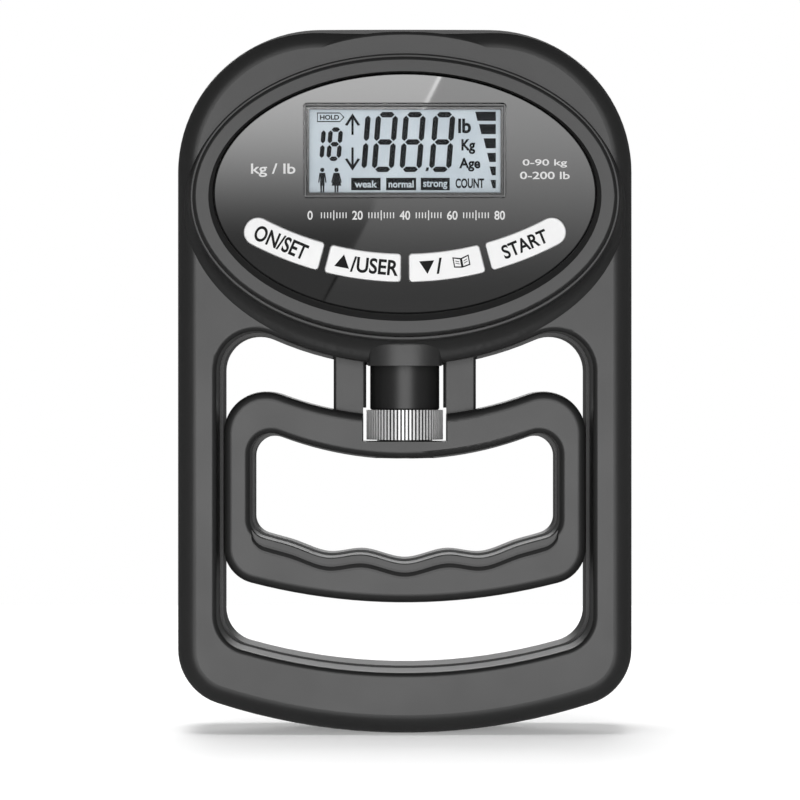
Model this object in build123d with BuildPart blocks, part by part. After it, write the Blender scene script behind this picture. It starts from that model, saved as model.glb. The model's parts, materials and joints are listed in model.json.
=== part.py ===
from build123d import *
from math import cos, pi, radians, sin, sqrt
import os

# Electronic hand dynamometer: an outer frame with a display head, and an inner grip that a threaded
# adjuster moves up and down on a rod hung from a load cell.
#
# Millimetres. X is to the right, Z up, and the display faces -Y. The origin is under the middle of the
# bowed lower bar. Heights called "h" are measured towards the viewer, so h = -y. Heights called "z" in
# the dimensions below are measured from a datum line BASE mm under the lower bar, and the planes that
# front(), level() and across() give take BASE off again.

os.makedirs("parts", exist_ok=True)

# ---------------------------------------------------------------- driving dimensions
BASE = 1.0
HALF_WIDTH = 61.5
TOP = 191.4
HALF_DEPTH = 15.5
TOP_CORNER = 38.6
BASE_BOW = 165.0
BASE_CORNER = 15.5
WALL = 2.2
GAP = 0.25

FRAME_H = 8.5
PART_H = -3.5
REAR_H = -HALF_DEPTH
RIM_H = HALF_DEPTH
AXIS_Y = -PART_H

WINDOW_HALF = 50.7
WINDOW_LOW, WINDOW_LOW_BOW, WINDOW_LOW_CORNER = 17.8, 158.0, 9.5
WINDOW_HIGH, WINDOW_HIGH_BOW, WINDOW_HIGH_CORNER = 100.8, 85.0, 10.5
REAR_LIP, REAR_LOW = 0.94, 18.3
REAR_HIGH, REAR_HIGH_BOW, REAR_HIGH_CORNER = 100.3, 90.2, 9.5

GRIP_HALF = 49.1
GRIP_DEPTH = 18.5
GRIP_LOW, GRIP_LOW_BOW, GRIP_LOW_CORNER = 36.3, 165.0, 10.0
GRIP_HIGH, GRIP_HIGH_BOW, GRIP_HIGH_CORNER = 86.8, 96.7, 11.5
FINGER_HALF = 41.8
FINGER_HIGH, FINGER_HIGH_BOW, FINGER_HIGH_CORNER = 75.5, 95.5, 5.6
FINGER_GROOVES = [(0, 47.05), (11.8, 49.55), (20.3, 48.65), (29.9, 51.65), (36.5, 53.55)]
FINGER_SIDE_LOW, FINGER_CORNER, FINGER_LIP = 55.15, 5.0, 0.6
FINGER_EDGE = 1.8
STEP_PROFILE = [(2.2, 0.7), (2.8, 0.62), (3.3, 0.36), (3.9, 0.08), (4.5, 0), (4.5, -1)]

OVAL_Z = 146.1
COLLAR_A, COLLAR_B, COLLAR_Z = 57.6, 38.4, 145.4
COLLAR_FLARE = [(3.3, 6.4), (3.1, 8.3), (2.7, 8.7), (1.9, 9.1), (1.1, 9.8), (0.5, 10.8), (0, 12.4)]
RING_A, RING_B, RING_Z, RING_SEAT_H, RING_EDGE = 56.5, 37.2, 145.35, 9.6, 1.0
TRIM_A, TRIM_B, TRIM_LOW_H = 52.2, 33.2, 14.5
PANEL_A, PANEL_B, PANEL_LOW_H, PANEL_H = 51.0, 32.1, 12.7, 14.7
LEDGE_A, LEDGE_B = 49.4, 30.6

DISPLAY_Z = 157.5
BORDER_WIDE, BORDER_TALL = 54.0, 25.3
VIEW_WIDE, VIEW_TALL = 51.0, 22.2
GLASS_H = 9.6

KEY_Z, KEY_INNER, KEY_OUTER = 210.6, 80.5, 88.0
KEY_ANGLES = {"key_on_set": (-30.1, -15.3), "key_up": (-14.1, -0.75), "key_down": (0.75, 14.1), "key_start": (15.3, 30.1)}
KEY_H, KEY_FLANGE_H, KEY_FOOT_H = 15.3, 12.5, 9.4

BOARD_H, BOARD_THICK = 4.6, 1.6
BOARD_WIDE, BOARD_TALL, BOARD_Z = 92.0, 52.0, 145.5
BOARD_NOTCH_HALF, BOARD_NOTCH_TOP = 6.5, 124.2
BOARD_HOLES = [(x, z) for x in (-42, 42) for z in (122.5, 168.5)]

SHELL_SCREWS = [(-36, 179.5), (36, 179.5), (-53, 112.5), (53, 112.5), (-42, 14.6), (42, 14.6)]
GRIP_SCREWS = [(-28, 85.2), (28, 85.2), (-30, 45), (30, 45)]

SLEEVE_R, BUSH_R = 9.5, 10.2
RING_LOW, RING_HIGH, KNURL_R, KNURLS = 80.4, 88.5, 10.5, 66
RIB_DEPTH, RIB_WIDE = 0.5, 0.5
SLEEVE_TOP = 112.0
CHANNEL_HALF, CHANNEL_FLOOR, CHANNEL_TOP = 11.5, 79.9, 89.1
STUB_R, POCKET_R, POCKET_TOP = 6.0, 7.8, 77.7
POST_IN, POST_OUT, POST_DEPTH, POST_TOP = 10.6, 19.4, 9.0, 114.0
BRIDGE_TOP = 112.0
ROD_R, ROD_LOW, ROD_HIGH = 3.0, 90.0, 146.0

CELL_LONG, CELL_DEEP, CELL_LOW, CELL_HIGH, CELL_HOLE_X = 72.0, 12.0, 127.0, 137.0, 30.0

BATTERY_R, BATTERY_LONG = 5.25, 44.5
BATTERY_H, BATTERY_ROWS = -8.2, (155.8, 167.2)
BAY_HALF, BAY_LOW, BAY_HIGH, BAY_FRONT_H = 26.5, 149.9, 173.1, -2.7
DOOR_HALF, DOOR_LOW, DOOR_HIGH, DOOR_THICK = 28.0, 147.2, 175.4, 1.8
BARREL_R = 1.6


def front(h):
    """The plane that faces the viewer at height h, with X across and Z up."""
    return Plane((0, -h, -BASE), x_dir=(1, 0, 0), z_dir=(0, -1, 0))


def level(z, y=0.0):
    """The horizontal plane at height z, with its origin on the part's centre plane at depth y."""
    return Plane((0, y, z - BASE), x_dir=(1, 0, 0), z_dir=(0, 0, 1))


def across(x):
    """The plane that faces right at x, with Y across and Z up."""
    return Plane((x, 0, -BASE), x_dir=(0, 1, 0), z_dir=(1, 0, 0))


def bow_side(low, radius, half):
    """Height at the side of an edge that bows down to low in the middle."""
    return low + radius - sqrt(radius**2 - half**2)


def bowed_shape(half, low, low_bow, low_corner, high, high_bow, high_corner):
    """A shape with upright sides, whose lower and upper edges both bow downwards."""
    low_side = bow_side(low, low_bow, half)
    high_side = bow_side(high, high_bow, half)
    with BuildSketch() as shape:
        with BuildLine():
            Line((half, low_side), (half, high_side))
            ThreePointArc((half, high_side), (0, high), (-half, high_side))
            Line((-half, high_side), (-half, low_side))
            ThreePointArc((-half, low_side), (0, low), (half, low_side))
        make_face()
        fillet(shape.vertices().group_by(Axis.Y)[0], low_corner)
        fillet(shape.vertices().group_by(Axis.Y)[-1], high_corner)
    return shape.sketch


def body_shape():
    """The silhouette: flat top, large upper corners, upright sides and a bowed base."""
    side = bow_side(BASE, BASE_BOW, HALF_WIDTH)
    with BuildSketch() as shape:
        with BuildLine():
            Polyline((HALF_WIDTH, side), (HALF_WIDTH, TOP), (-HALF_WIDTH, TOP), (-HALF_WIDTH, side))
            for ends in ((-HALF_WIDTH, 0), (0, HALF_WIDTH)):
                middle = sum(ends) / 2
                points = [(x, bow_side(BASE, BASE_BOW, x)) for x in (ends[0], middle, ends[1])]
                ThreePointArc(*points)
        make_face()
        fillet(shape.vertices().group_by(Axis.Y)[0], BASE_CORNER)
        fillet(shape.vertices().group_by(Axis.Y)[-1], TOP_CORNER)
    return shape.sketch


def finger_window(lip=0.0, drop=0.0):
    """The opening for the fingers, narrowed by lip, whose lower edge has a groove for each finger.

    The grooves are drop lower than in the opening itself.
    """
    half = FINGER_HALF - lip
    grooves = [(x, z + lip - drop) for x, z in FINGER_GROOVES]
    grooves.append((half, FINGER_SIDE_LOW + lip - drop))
    high = FINGER_HIGH - lip
    high_side = bow_side(high, FINGER_HIGH_BOW, half)
    with BuildSketch() as shape:
        with BuildLine():
            Spline(*[(-x, z) for x, z in reversed(grooves)], *grooves[1:])
            Line(grooves[-1], (half, high_side))
            ThreePointArc((half, high_side), (0, high), (-half, high_side))
            Line((-half, high_side), (-half, grooves[-1][1]))
        make_face()
        fillet(shape.vertices().group_by(Axis.Y)[-1], FINGER_HIGH_CORNER)
        corners = shape.vertices().filter_by(lambda v: abs(v.Y - grooves[-1][1]) < 0.01)
        fillet(corners, FINGER_CORNER)
    return shape.sketch


BODY = body_shape()
WINDOW = bowed_shape(
    WINDOW_HALF, WINDOW_LOW, WINDOW_LOW_BOW, WINDOW_LOW_CORNER,
    WINDOW_HIGH, WINDOW_HIGH_BOW, WINDOW_HIGH_CORNER,
)
WINDOW_REAR = bowed_shape(
    WINDOW_HALF - REAR_LIP, REAR_LOW, WINDOW_LOW_BOW, WINDOW_LOW_CORNER,
    REAR_HIGH, REAR_HIGH_BOW, REAR_HIGH_CORNER,
)
GRIP = bowed_shape(
    GRIP_HALF, GRIP_LOW, GRIP_LOW_BOW, GRIP_LOW_CORNER,
    GRIP_HIGH, GRIP_HIGH_BOW, GRIP_HIGH_CORNER,
)
FINGERS = finger_window()
FINGERS_REAR = finger_window(FINGER_LIP)

BODY_INSIDE = offset(BODY, amount=-WALL)
WINDOW_OUTSIDE = offset(WINDOW, amount=WALL)


def oval(half_wide, half_tall, z=OVAL_Z):
    """An ellipse of the display oval, ready to be placed on a front plane."""
    with BuildSketch() as shape:
        with Locations((0, z)):
            Ellipse(half_wide, half_tall)
    return shape.sketch


def block(x, z, low_h, high_h):
    """A box given by its ranges across, up and towards the viewer."""
    with BuildPart() as solid:
        with BuildSketch(front(low_h)):
            with Locations(((x[0] + x[1]) / 2, (z[0] + z[1]) / 2)):
                Rectangle(x[1] - x[0], z[1] - z[0])
        extrude(amount=high_h - low_h)
    return solid.part


def upright(radius, low, high, x=0.0):
    """A vertical cylinder on the part's centre plane."""
    with BuildPart() as solid:
        with BuildSketch(level(low, AXIS_Y)):
            with Locations((x, 0)):
                Circle(radius)
        extrude(amount=high - low)
    return solid.part


def pins(points, radius, low_h, high_h):
    """Round columns that stand from low_h to high_h at the given points across and up."""
    with BuildPart() as solid:
        with BuildSketch(front(low_h)):
            with Locations(*points):
                Circle(radius)
        extrude(amount=high_h - low_h)
    return solid.part


def key_outline(first, last, grow=0.0):
    """A key's outline: a slice of a ring about a point above the display, rounded at the strip's ends."""
    spread = grow / ((KEY_INNER + KEY_OUTER) / 2) * 180 / pi
    first = first - spread
    last = last + spread
    inner = KEY_INNER - grow
    outer = KEY_OUTER + grow

    def at(radius, angle):
        return (radius * sin(radians(angle)), KEY_Z - radius * cos(radians(angle)))

    middle = (first + last) / 2
    with BuildSketch() as shape:
        with BuildLine():
            ThreePointArc(at(outer, first), at(outer, middle), at(outer, last))
            Line(at(outer, last), at(inner, last))
            ThreePointArc(at(inner, last), at(inner, middle), at(inner, first))
            Line(at(inner, first), at(outer, first))
        make_face()
        left = max(0.3, (3.6 if first < -20 else 0.9) + grow)
        right = max(0.3, (3.6 if last > 20 else 0.9) + grow)
        fillet(shape.vertices().sort_by(Axis.X)[:2], left)
        fillet(shape.vertices().sort_by(Axis.X)[-2:], right)
    return shape.sketch


def head_bridge(low_h, high_h):
    """The solid block over the frame's window, through which the sleeve and the two posts slide."""
    with BuildPart() as bridge:
        with BuildSketch(front(low_h)):
            with Locations((0, (BRIDGE_TOP + 96) / 2)):
                Rectangle(46, BRIDGE_TOP - 96)
            add(WINDOW, mode=Mode.SUBTRACT)
        extrude(amount=high_h - low_h)
    return bridge.part


def guide_ways():
    """The openings in the bridge: the sleeve's bore, the bush's seat and the two post slots."""
    clear = 0.35
    with BuildPart() as ways:
        add(upright(SLEEVE_R + clear, 95, 125))
        add(upright(BUSH_R + 0.1, 102.2, 110.2))
        with BuildSketch(level(95, AXIS_Y)):
            for side in (-1, 1):
                with Locations((side * (POST_IN + POST_OUT) / 2, 0)):
                    Rectangle(POST_OUT - POST_IN + 2 * clear, POST_DEPTH + 2 * clear)
        extrude(amount=30)
    return ways.part


# ---------------------------------------------------------------- frame, front half
with BuildPart() as front_core:
    with BuildSketch(front(PART_H)):
        add(BODY_INSIDE)
        add(WINDOW_OUTSIDE, mode=Mode.SUBTRACT)
    extrude(amount=FRAME_H - WALL - PART_H)
    face = front_core.faces().sort_by(Axis.Y)[0]
    fillet(face.outer_wire().edges(), 3.0)

with BuildPart() as nose:
    with BuildSketch(level(100.4)):
        with BuildLine():
            ThreePointArc((-9.9, -FRAME_H - 0.4), (0, -FRAME_H - 2.8), (9.9, -FRAME_H - 0.4))
            Polyline((9.9, -FRAME_H - 0.4), (9.9, -4), (-9.9, -4), (-9.9, -FRAME_H - 0.4))
        make_face()
    extrude(amount=6.8)
    fillet(nose.edges().filter_by(Axis.Z).group_by(Axis.Y)[0], 1.5)
    fillet(nose.faces().sort_by(Axis.Z)[-1].edges().sort_by(Axis.Y)[0], 1.4)

with BuildPart() as collar:
    for grow, h in COLLAR_FLARE:
        with BuildSketch(front(h)):
            add(oval(COLLAR_A + 0.55 * grow, COLLAR_B + grow, COLLAR_Z - 0.8 * grow))
    loft()
    fillet(collar.faces().sort_by(Axis.Y)[0].edges(), 0.5)

BROW_HALF, BROW_TALL, BROW_Z, BROW_LOW_H = 30.0, 10.4, 180.0, 3.5
RIM_TOP_H, RIM_BOW = 6.9, 590.0
RIM_LINE = [(20, 189.4), (34, 187.8), (40, 185.8), (50.5, 179.0)]
RIM_OUTLINE = offset(BODY, amount=-0.4)

with BuildPart() as brow:
    with BuildSketch(front(BROW_LOW_H)):
        add(oval(BROW_HALF, BROW_TALL, BROW_Z))
    extrude(amount=FRAME_H - BROW_LOW_H)
    fillet(brow.faces().sort_by(Axis.Y)[0].edges(), 1.0)

with BuildPart() as brow_rim:
    with BuildSketch(front(BROW_LOW_H)):
        with BuildLine():
            Spline(*[(-x, z) for x, z in reversed(RIM_LINE)], *RIM_LINE)
            end_x, end_z = RIM_LINE[-1]
            Polyline((end_x, end_z), (end_x, TOP + 5), (-end_x, TOP + 5), (-end_x, end_z))
        make_face()
        add(RIM_OUTLINE, mode=Mode.INTERSECT)
    extrude(amount=RIM_TOP_H - BROW_LOW_H)
    with BuildSketch(level(BROW_Z - 20)):
        with Locations((0, RIM_BOW - RIM_TOP_H)):
            Circle(RIM_BOW)
    extrude(amount=TOP - BROW_Z + 30, mode=Mode.INTERSECT)

with BuildPart() as front_shell:
    with BuildSketch(front(PART_H)):
        add(BODY)
        add(WINDOW, mode=Mode.SUBTRACT)
    extrude(amount=FRAME_H - PART_H)
    face = front_shell.faces().sort_by(Axis.Y)[0]
    fillet(face.outer_wire().edges(), 5.5)
    face = front_shell.faces().sort_by(Axis.Y)[0]
    fillet(face.inner_wires()[0].edges(), 1.5)
    face = front_shell.faces().sort_by(Axis.Y)[-1]
    chamfer(face.outer_wire().edges(), 0.3)
    add(collar.part)
    add(brow.part)
    add(brow_rim.part)
    add(nose.part)
    add(front_core.part, mode=Mode.SUBTRACT)
    with BuildSketch(front(RING_SEAT_H)):
        add(oval(RING_A + GAP, RING_B + GAP, RING_Z))
    extrude(amount=10, mode=Mode.SUBTRACT)
    with BuildSketch(front(PART_H)):
        add(oval(LEDGE_A + 0.6, LEDGE_B + 0.6))
    extrude(amount=20, mode=Mode.SUBTRACT)
    add(head_bridge(PART_H, FRAME_H - WALL))
    add(pins(SHELL_SCREWS, 3.2, PART_H, FRAME_H - WALL))
    add(pins(BOARD_HOLES, 2.4, BOARD_H + BOARD_THICK, FRAME_H - WALL))
    add(guide_ways(), mode=Mode.SUBTRACT)
    add(pins(SHELL_SCREWS, 1.1, PART_H, FRAME_H - WALL), mode=Mode.SUBTRACT)
    add(pins(BOARD_HOLES, 0.8, BOARD_H + BOARD_THICK, RING_SEAT_H - 0.8), mode=Mode.SUBTRACT)
front_shell.part.label = "front_shell"
export_step(front_shell.part, "parts/front_shell.step")


# ---------------------------------------------------------------- frame, rear half
DOOR_H = REAR_H + DOOR_THICK
HINGE_Y = -(REAR_H + BARREL_R)
BAY_WALL = 1.5

with BuildPart() as rear_core:
    with BuildSketch(front(PART_H)):
        add(BODY_INSIDE)
        add(WINDOW_OUTSIDE, mode=Mode.SUBTRACT)
    extrude(amount=REAR_H + WALL - PART_H)
    face = rear_core.faces().sort_by(Axis.Y)[-1]
    fillet(face.outer_wire().edges(), 3.0)

with BuildPart() as rear_shell:
    with BuildSketch(front(PART_H)):
        add(BODY)
        add(WINDOW_REAR, mode=Mode.SUBTRACT)
    extrude(amount=REAR_H - PART_H)
    face = rear_shell.faces().sort_by(Axis.Y)[-1]
    fillet(face.outer_wire().edges(), 5.5)
    face = rear_shell.faces().sort_by(Axis.Y)[-1]
    fillet(face.inner_wires()[0].edges(), 1.5)
    face = rear_shell.faces().sort_by(Axis.Y)[0]
    chamfer(face.outer_wire().edges(), 0.3)
    add(rear_core.part, mode=Mode.SUBTRACT)
    add(head_bridge(REAR_H + WALL, PART_H))
    add(pins(SHELL_SCREWS, 3.2, REAR_H + WALL, PART_H))
    outer_x = (-BAY_HALF - BAY_WALL, BAY_HALF + BAY_WALL)
    add(block(outer_x, (144.6, BAY_HIGH + BAY_WALL), REAR_H + 1, BAY_FRONT_H + BAY_WALL))
    for side in (-1, 1):
        x = side * CELL_HOLE_X
        add(block((x - 5, x + 5), (CELL_LOW, CELL_HIGH), REAR_H + WALL, PART_H - CELL_DEEP / 2))
    add(block((-12, 12), (120, 147.9), REAR_H + 2.6, 0), mode=Mode.SUBTRACT)
    add(block((-BAY_HALF, BAY_HALF), (BAY_LOW, BAY_HIGH), REAR_H - 1, BAY_FRONT_H), mode=Mode.SUBTRACT)
    door_x = (-DOOR_HALF - GAP, DOOR_HALF + GAP)
    add(block(door_x, (DOOR_LOW, DOOR_HIGH + GAP), REAR_H - 1, DOOR_H + 0.1), mode=Mode.SUBTRACT)
    swing_low = DOOR_LOW - BARREL_R - GAP
    add(block(door_x, (swing_low, DOOR_LOW), REAR_H - 1, -HINGE_Y), mode=Mode.SUBTRACT)
    with BuildSketch(across(-DOOR_HALF - GAP)):
        with Locations((HINGE_Y, DOOR_LOW)):
            Circle(BARREL_R + GAP)
    extrude(amount=2 * (DOOR_HALF + GAP), mode=Mode.SUBTRACT)
    with BuildSketch(across(-DOOR_HALF - 1.2)):
        with Locations((HINGE_Y, DOOR_LOW)):
            Circle(0.7)
    extrude(amount=2 * (DOOR_HALF + 1.2), mode=Mode.SUBTRACT)
    with BuildSketch(front(REAR_H)):
        with Locations((0, DOOR_HIGH + 1.5)):
            SlotOverall(18, 7)
    extrude(amount=1.0, mode=Mode.SUBTRACT)
    with BuildSketch(front(REAR_H)):
        with Locations((0, 125)):
            RectangleRounded(58, 26, 2)
    extrude(amount=0.3, mode=Mode.SUBTRACT)
    add(guide_ways(), mode=Mode.SUBTRACT)
    add(pins(SHELL_SCREWS, 1.5, REAR_H - 1, PART_H), mode=Mode.SUBTRACT)
    add(pins(SHELL_SCREWS, 2.7, REAR_H - 1, REAR_H + 5), mode=Mode.SUBTRACT)
    hole_spots = [(side * CELL_HOLE_X, (CELL_LOW + CELL_HIGH) / 2) for side in (-1, 1)]
    add(pins(hole_spots, 1.7, REAR_H + WALL - 1, PART_H), mode=Mode.SUBTRACT)
rear_shell.part.label = "rear_shell"
export_step(rear_shell.part, "parts/rear_shell.step")

with BuildPart() as shell_screws:
    for x, z in SHELL_SCREWS:
        add(pins([(x, z)], 2.4, REAR_H + 3.2, REAR_H + 5))
        add(pins([(x, z)], 1.1, REAR_H + 5, PART_H + 6))
        add(pins([(x, z)], 0.9, REAR_H + 3, REAR_H + 4.2), mode=Mode.SUBTRACT)
shell_screws.part.label = "shell_screws"
export_step(shell_screws.part, "parts/shell_screws.step")


# ---------------------------------------------------------------- display oval
with BuildPart() as oval_bezel:
    with BuildSketch(front(RING_SEAT_H)):
        add(oval(RING_A, RING_B, RING_Z))
        add(oval(LEDGE_A, LEDGE_B), mode=Mode.SUBTRACT)
    extrude(amount=RIM_H - RING_SEAT_H)
    face = oval_bezel.faces().sort_by(Axis.Y)[0]
    fillet(face.outer_wire().edges(), RING_EDGE)
    with BuildSketch(front(PANEL_LOW_H)):
        add(oval(PANEL_A + 0.15, PANEL_B + 0.15))
    extrude(amount=10, mode=Mode.SUBTRACT)
    with BuildSketch(front(TRIM_LOW_H)):
        add(oval(PANEL_A + 0.15, PANEL_B + 0.15))
    with BuildSketch(front(RIM_H)):
        add(oval(TRIM_A, TRIM_B, RING_Z))
    loft(mode=Mode.SUBTRACT)
oval_bezel.part.label = "oval_bezel"
export_step(oval_bezel.part, "parts/oval_bezel.step")

with BuildPart() as face_panel:
    with BuildSketch(front(PANEL_LOW_H)):
        add(oval(PANEL_A, PANEL_B))
    extrude(amount=PANEL_H - PANEL_LOW_H)
    face = face_panel.faces().sort_by(Axis.Y)[0]
    fillet(face.outer_wire().edges(), 0.5)
    with BuildSketch(front(PANEL_LOW_H)):
        with Locations((0, DISPLAY_Z)):
            Rectangle(VIEW_WIDE, VIEW_TALL)
        for first, last in KEY_ANGLES.values():
            add(key_outline(first, last, 0.2))
    extrude(amount=5, mode=Mode.SUBTRACT)
    with BuildSketch(front(PANEL_H - 1.05)):
        with Locations((0, DISPLAY_Z)):
            RectangleRounded(BORDER_WIDE + 0.2, BORDER_TALL + 0.2, 1.3)
    extrude(amount=5, mode=Mode.SUBTRACT)
face_panel.part.label = "face_panel"
export_step(face_panel.part, "parts/face_panel.step")

with BuildPart() as display_window:
    with BuildSketch(front(PANEL_H - 1.05)):
        with Locations((0, DISPLAY_Z)):
            RectangleRounded(BORDER_WIDE, BORDER_TALL, 1.2)
    extrude(amount=1.05)
    chamfer(display_window.faces().sort_by(Axis.Y)[0].edges(), 0.3)
display_window.part.label = "display_window"
export_step(display_window.part, "parts/display_window.step")

with BuildPart() as lcd_glass:
    with BuildSketch(front(GLASS_H)):
        with Locations((0, DISPLAY_Z)):
            Rectangle(54.4, 25.6)
    extrude(amount=1.5)
    with BuildSketch(front(GLASS_H + 1.5)):
        with Locations((0, DISPLAY_Z + 0.9)):
            Rectangle(54.4, 23.6)
    extrude(amount=1.3)
lcd_glass.part.label = "lcd_glass"
export_step(lcd_glass.part, "parts/lcd_glass.step")

BOARD_FRONT = BOARD_H + BOARD_THICK

with BuildPart() as lcd_holder:
    with BuildSketch(front(BOARD_FRONT)):
        with Locations((0, DISPLAY_Z)):
            Rectangle(56, 27)
            Rectangle(49, 19, mode=Mode.SUBTRACT)
    extrude(amount=GLASS_H - BOARD_FRONT)
    with BuildSketch(front(BOARD_FRONT)):
        with Locations((0, DISPLAY_Z - 11.4)):
            Rectangle(50.4, 2.4)
    extrude(amount=GLASS_H - BOARD_FRONT, mode=Mode.SUBTRACT)
lcd_holder.part.label = "lcd_holder"
export_step(lcd_holder.part, "parts/lcd_holder.step")

with BuildPart() as zebra_strip:
    with BuildSketch(front(BOARD_FRONT)):
        with Locations((0, DISPLAY_Z - 11.4)):
            Rectangle(50, 2)
    extrude(amount=GLASS_H - BOARD_FRONT)
zebra_strip.part.label = "zebra_strip"
export_step(zebra_strip.part, "parts/zebra_strip.step")

# ---------------------------------------------------------------- keys and their mat
for name, (first, last) in KEY_ANGLES.items():
    with BuildPart() as key:
        with BuildSketch(front(KEY_FLANGE_H - 1.2)):
            add(key_outline(first, last))
        extrude(amount=KEY_H - KEY_FLANGE_H + 1.2)
        fillet(key.faces().sort_by(Axis.Y)[0].edges(), 0.4)
        with BuildSketch(front(KEY_FLANGE_H - 1.2)):
            add(key_outline(first, last, 0.7))
        extrude(amount=1.2)
        with BuildSketch(front(KEY_FOOT_H)):
            add(key_outline(first + 2.5, last - 2.5, -2.2))
        extrude(amount=KEY_FLANGE_H - 1.2 - KEY_FOOT_H)
    key.part.label = name
    export_step(key.part, f"parts/{name}.step")

with BuildPart() as keypad_mat:
    with BuildSketch(front(BOARD_FRONT)):
        add(key_outline(-29, 29, 1.5))
    extrude(amount=1.4)
    with BuildSketch(front(BOARD_FRONT + 1.4)):
        for first, last in KEY_ANGLES.values():
            add(key_outline(first + 2, last - 2, -1.7))
    extrude(amount=KEY_FOOT_H - 0.05 - BOARD_FRONT - 1.4)
keypad_mat.part.label = "keypad_mat"
export_step(keypad_mat.part, "parts/keypad_mat.step")

# ---------------------------------------------------------------- circuit board
with BuildPart() as main_board:
    with BuildSketch(front(BOARD_H)):
        with Locations((0, BOARD_Z)):
            RectangleRounded(BOARD_WIDE, BOARD_TALL, 3)
        with Locations((0, BOARD_NOTCH_TOP - 10)):
            Rectangle(2 * BOARD_NOTCH_HALF, 20, mode=Mode.SUBTRACT)
        with Locations(*BOARD_HOLES):
            Circle(1.1, mode=Mode.SUBTRACT)
    extrude(amount=BOARD_THICK)
main_board.part.label = "main_board"
export_step(main_board.part, "parts/main_board.step")

with BuildPart() as board_screws:
    for spot in BOARD_HOLES:
        add(pins([spot], 2.0, BOARD_H - 1.3, BOARD_H))
        add(pins([spot], 0.8, BOARD_H, BOARD_FRONT + 2.6))
        add(pins([spot], 0.7, BOARD_H - 2, BOARD_H - 0.6), mode=Mode.SUBTRACT)
board_screws.part.label = "board_screws"
export_step(board_screws.part, "parts/board_screws.step")

with BuildPart() as mcu_chip:
    add(block((-37, -29), (138.5, 146.5), BOARD_H - 1.6, BOARD_H))
    fillet(mcu_chip.faces().sort_by(Axis.Y)[-1].edges(), 0.3)
mcu_chip.part.label = "mcu_chip"
export_step(mcu_chip.part, "parts/mcu_chip.step")

with BuildPart() as adc_chip:
    add(block((29, 34), (139, 144), BOARD_H - 1.5, BOARD_H))
adc_chip.part.label = "adc_chip"
export_step(adc_chip.part, "parts/adc_chip.step")

with BuildPart() as crystal:
    with BuildSketch(front(BOARD_H)):
        with Locations((-33, 151)):
            SlotOverall(10, 3.6)
    extrude(amount=-3.2)
crystal.part.label = "crystal"
export_step(crystal.part, "parts/crystal.step")

with BuildPart() as buzzer:
    add(pins([(36, 157)], 6, BOARD_H - 5, BOARD_H))
    fillet(buzzer.faces().sort_by(Axis.Y)[-1].edges(), 0.5)
    add(pins([(36, 157)], 1.0, BOARD_H - 6, BOARD_H - 3), mode=Mode.SUBTRACT)
buzzer.part.label = "buzzer"
export_step(buzzer.part, "parts/buzzer.step")

# ---------------------------------------------------------------- load cell and draw rod
CELL_MID = (CELL_LOW + CELL_HIGH) / 2

with BuildPart() as load_cell:
    add(block((-CELL_LONG / 2, CELL_LONG / 2), (CELL_LOW, CELL_HIGH), PART_H - CELL_DEEP / 2, PART_H + CELL_DEEP / 2))
    fillet(load_cell.edges().filter_by(Axis.Y), 1.0)
    with BuildSketch(front(PART_H - CELL_DEEP)):
        for x in (-21, -13, 13, 21):
            with Locations((x, CELL_MID)):
                Circle(3.4)
    extrude(amount=2 * CELL_DEEP, mode=Mode.SUBTRACT)
    add(pins(hole_spots, 2.1, -20, 10), mode=Mode.SUBTRACT)
    add(upright(ROD_R + 0.3, 120, 145), mode=Mode.SUBTRACT)
load_cell.part.label = "load_cell"
export_step(load_cell.part, "parts/load_cell.step")

with BuildPart() as cell_screws:
    for spot in hole_spots:
        add(pins([spot], 3.5, PART_H + CELL_DEEP / 2, PART_H + CELL_DEEP / 2 + 1.3))
        add(pins([spot], 1.7, REAR_H + WALL, PART_H + CELL_DEEP / 2))
cell_screws.part.label = "cell_screws"
export_step(cell_screws.part, "parts/cell_screws.step")

for name, x in (("strain_gauge_left", -17), ("strain_gauge_right", 17)):
    with BuildPart() as gauge:
        add(block((x - 4, x + 4), (CELL_HIGH, CELL_HIGH + 0.3), PART_H - 2.5, PART_H + 2.5))
    gauge.part.label = name
    export_step(gauge.part, f"parts/{name}.step")

with BuildPart() as gauge_cable:
    with BuildLine() as lead:
        Spline((21.05, 3.5, 136.9), (23.5, 2.0, 139.0), (25.5, -1.0, 138.6), (27.0, -3.8, 138.5))
    with BuildSketch(Plane(lead.line @ 0, z_dir=lead.line % 0)):
        Circle(0.7)
    sweep()
gauge_cable.part.label = "gauge_cable"
export_step(gauge_cable.part, "parts/gauge_cable.step")

NUT_LOW = CELL_HIGH + 1.6

with BuildPart() as draw_rod:
    add(upright(ROD_R - 0.05, ROD_LOW, ROD_HIGH))
    chamfer(draw_rod.faces().filter_by(Axis.Z).edges(), 0.6)
draw_rod.part.label = "draw_rod"
export_step(draw_rod.part, "parts/draw_rod.step")

with BuildPart() as rod_washer:
    add(upright(5.6, CELL_HIGH, NUT_LOW))
    add(upright(ROD_R + 0.2, 130, 145), mode=Mode.SUBTRACT)
rod_washer.part.label = "rod_washer"
export_step(rod_washer.part, "parts/rod_washer.step")

for name, low in (("rod_nut", NUT_LOW), ("rod_lock_nut", NUT_LOW + 3.2)):
    with BuildPart() as nut:
        with BuildSketch(level(low, AXIS_Y)):
            RegularPolygon(5.77, 6)
            Circle(ROD_R, mode=Mode.SUBTRACT)
        extrude(amount=3.2)
    nut.part.label = name
    export_step(nut.part, f"parts/{name}.step")

# ---------------------------------------------------------------- adjuster knob
with BuildPart() as sleeve_bush:
    add(upright(BUSH_R, 102.3, 110.1))
    add(upright(SLEEVE_R + 0.15, 100, 112), mode=Mode.SUBTRACT)
sleeve_bush.part.label = "sleeve_bush"
export_step(sleeve_bush.part, "parts/sleeve_bush.step")

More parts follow.
